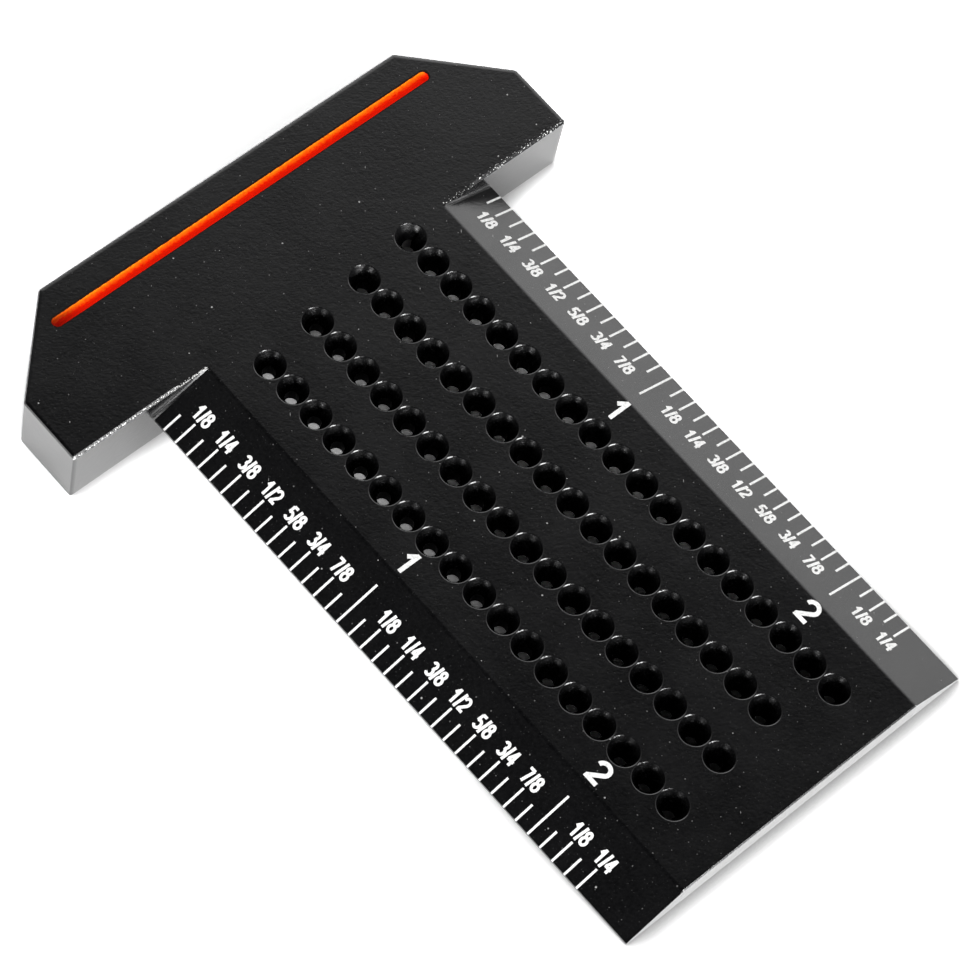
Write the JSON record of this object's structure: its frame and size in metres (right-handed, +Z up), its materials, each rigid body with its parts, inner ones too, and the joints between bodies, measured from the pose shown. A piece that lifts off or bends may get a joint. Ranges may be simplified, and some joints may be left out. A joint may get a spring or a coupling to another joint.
{
  "type": "pocket t-square",
  "caption": "Small T-square for marking out: a thick head that hooks over a board's edge, and a thin bevelled blade with inch scales and staggered rows of countersunk pencil holes.",
  "frame": {"origin": "the middle of the inside corner that sits on a board's edge: on the fence face (y = 0), on the plane of the blade's underside (z = 0), half way along the head (x = 0)", "axes": "+Y runs out along the blade, square to the fence, so y is the distance from the board's edge; +Z is up, out of the blade's marked top; +X runs along the head by the right-hand rule, to the left of someone who looks at the marked top with the blade pointing down"},
  "size_m": [0.0584, 0.0789, 0.0072],
  "materials": {
    "black_anodised_aluminium": "bead-blasted and dyed black, satin",
    "orange_enamel": "orange enamel brushed into a machined groove",
    "white_marking": "white marks, matt"
  },
  "bodies": {
    "root": {"square_body": "black_anodised_aluminium", "groove_enamel": "orange_enamel", "left_inch_marks": "white_marking", "left_eighth_marks": "white_marking", "left_sixteenth_marks": "white_marking", "right_inch_marks": "white_marking", "right_eighth_marks": "white_marking", "right_sixteenth_marks": "white_marking"}
  },
  "joints": []
}
